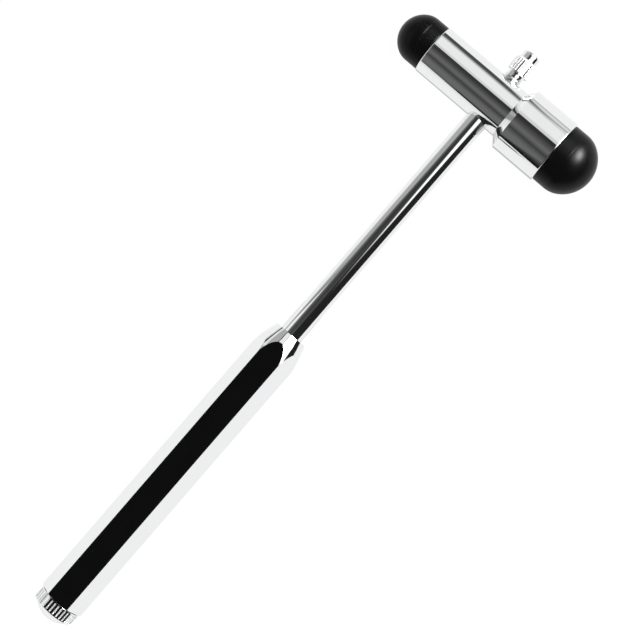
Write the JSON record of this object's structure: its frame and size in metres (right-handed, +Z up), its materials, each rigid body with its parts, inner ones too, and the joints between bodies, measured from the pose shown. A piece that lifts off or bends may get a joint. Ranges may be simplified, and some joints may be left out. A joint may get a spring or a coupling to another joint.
{
  "type": "reflex hammer",
  "caption": "Percussion hammer with a stepped metal head, rubber ends of unlike size, a hexagonal handle, a needle stored in the stem and a brush stored in the handle.",
  "frame": {"origin": "on the surface that the hammer lies on, under the centre of its bounding box", "axes": "+Y along the handle towards the head, +X along the head towards its large end, +Z up and square to the handle's top flat"},
  "size_m": [0.061, 0.1856, 0.018],
  "materials": {
    "head_chrome": "mirror-polished chrome plate",
    "stem_chrome": "mirror-polished chrome plate",
    "handle_chrome": "mirror-polished chrome plate on flat faces",
    "knob_chrome": "bright chrome plate",
    "cap_chrome": "bright chrome plate",
    "black_rubber": "smooth moulded rubber with a soft sheen",
    "needle_steel": "ground steel",
    "ferrule_metal": "drawn brass",
    "bristles": "fine nylon filaments"
  },
  "bodies": {
    "hammer": {"head_body": "head_chrome", "small_rubber_end": "black_rubber", "large_rubber_end": "black_rubber", "stem": "stem_chrome", "handle": "handle_chrome"},
    "needle": {"needle_pin": "needle_steel"},
    "knob": {"needle_knob": "knob_chrome"},
    "brush": {"brush_ferrule": "ferrule_metal", "brush_bristles": "bristles"},
    "cap": {"brush_cap": "cap_chrome"}
  },
  "joints": [
    {"name": "needle_draw", "type": "slide", "parent": "hammer", "child": "needle", "axis": [0, 1, 0], "range_m": [0, 0.031]},
    {"name": "needle_turn", "type": "hinge", "parent": "needle", "child": "knob", "pos_m": [-0.00082, 0.0846, 0.009], "axis": [0, 1, 0], "continuous": true},
    {"name": "brush_draw", "type": "slide", "parent": "hammer", "child": "brush", "axis": [0, -1, 0], "range_m": [0, 0.0265]},
    {"name": "brush_turn", "type": "hinge", "parent": "brush", "child": "cap", "pos_m": [-0.00082, -0.0875, 0.009], "axis": [0, -1, 0], "continuous": true}
  ]
}
